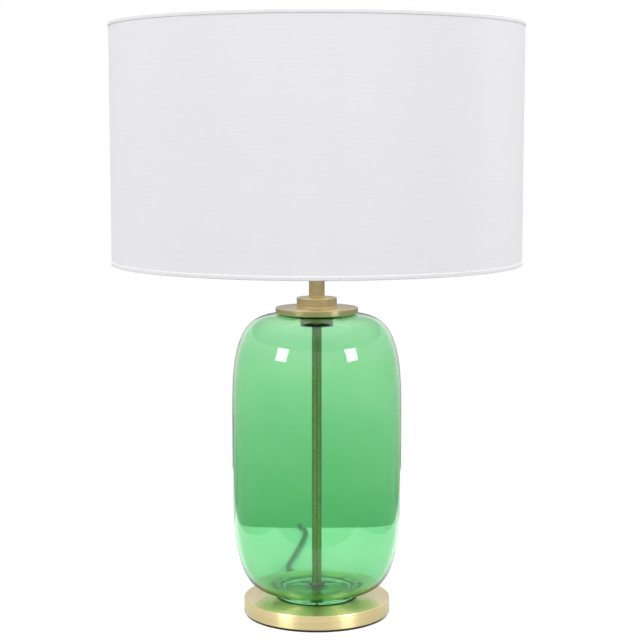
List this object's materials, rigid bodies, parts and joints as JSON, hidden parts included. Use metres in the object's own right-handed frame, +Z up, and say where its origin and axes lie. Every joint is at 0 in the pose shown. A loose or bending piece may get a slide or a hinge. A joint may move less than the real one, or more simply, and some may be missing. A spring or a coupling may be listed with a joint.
{
  "type": "table lamp",
  "caption": "Table lamp with a green blown-glass bottle body, satin brass foot, cap and neck, and a white fabric drum shade on a screw lampholder.",
  "frame": {"origin": "middle of the foot's underside, on the table", "axes": "+Z up along the stem, -Y to the front; the cord leaves the foot towards +Y"},
  "size_m": [0.4129, 0.7363, 0.6],
  "materials": {
    "brass": "satin brushed brass finish",
    "green_glass": "clear green blown glass, glossy",
    "linen": "fine white linen weave",
    "liner": "white styrene laminate, satin",
    "white_wire": "white powder coat",
    "steel": "zinc plated",
    "cast_weight": "dull grey casting",
    "black_foam": "matte black foam",
    "black_rubber": "matte black",
    "clear_rubber": "translucent soft plastic",
    "black_plastic": "satin black phenolic",
    "ceramic": "white glazed steatite",
    "contact_brass": "bright brass",
    "nickel": "nickel plate",
    "bulb_glass": "clear glass",
    "black_glass": "black vitrite",
    "filament": "yellow phosphor filaments on a glass mount",
    "wire_insulation": "brown and blue insulation",
    "clear_pvc": "clear PVC over two cores",
    "clear_plastic": "clear moulded plastic"
  },
  "bodies": {
    "root": {"base_pad": "black_foam", "base_weight": "cast_weight", "base_cover": "brass", "cord_relief": "clear_rubber", "stem_tube": "brass", "stem_washer": "steel", "stem_nut": "steel", "cap_nut": "steel", "glass_body": "green_glass", "glass_gasket": "clear_rubber", "bottom_bush": "clear_rubber", "foot_washer": "clear_rubber", "foot_locknut": "brass", "cap_gasket": "black_rubber", "centring_plug": "black_rubber", "cap_disc": "brass", "collar": "brass", "neck_tube": "brass", "holder_cap": "black_plastic", "holder_shell": "black_plastic", "holder_core": "ceramic", "holder_sleeve": "nickel", "centre_contact": "contact_brass", "terminal_screws": "steel", "clamp_ring": "black_plastic", "inner_wires": "wire_insulation", "cord_lead": "clear_pvc", "cord_tail": "clear_pvc", "cord_plug_lead": "clear_pvc", "cord_coil": "clear_pvc", "switch_lower": "clear_plastic", "switch_upper": "clear_plastic", "switch_pivot": "steel", "switch_screws": "steel", "switch_contacts": "contact_brass", "plug_body": "clear_plastic", "plug_pins": "nickel", "plug_sleeves": "black_plastic"},
    "shade": {"shade_fabric": "linen", "shade_liner": "liner", "hem_top": "linen", "hem_bottom": "linen", "ring_top": "white_wire", "ring_bottom": "white_wire", "fitter_ring": "white_wire", "spoke_1": "white_wire", "spoke_2": "white_wire", "spoke_3": "white_wire"},
    "bulb_lift": {"bulb_contact": "nickel"},
    "bulb": {"bulb_insulator": "black_glass", "bulb_screw": "nickel", "bulb_globe": "bulb_glass", "bulb_filaments": "filament"},
    "rocker": {"switch_rocker": "clear_plastic"}
  },
  "joints": [
    {"name": "shade_turn", "type": "hinge", "parent": "root", "child": "shade", "pos_m": [0, 0, 0.395], "axis": [0, 0, 1], "continuous": true},
    {"name": "bulb_rise", "type": "slide", "parent": "root", "child": "bulb_lift", "axis": [0, 0, 1], "range_m": [0, 0.0181]},
    {"name": "bulb_unscrew", "type": "hinge", "parent": "bulb_lift", "child": "bulb", "pos_m": [0, 0, 0.42], "axis": [0, 0, 1], "range_deg": [0, 1801]},
    {"name": "switch_rock", "type": "hinge", "parent": "root", "child": "rocker", "pos_m": [-0.031, 0.402, 0.0123], "axis": [1, 0, 0], "range_deg": [-8, 8]}
  ],
  "couplings": [
    {"joint": "bulb_unscrew", "follows": "bulb_rise", "rad_per_m": 1735.7}
  ]
}
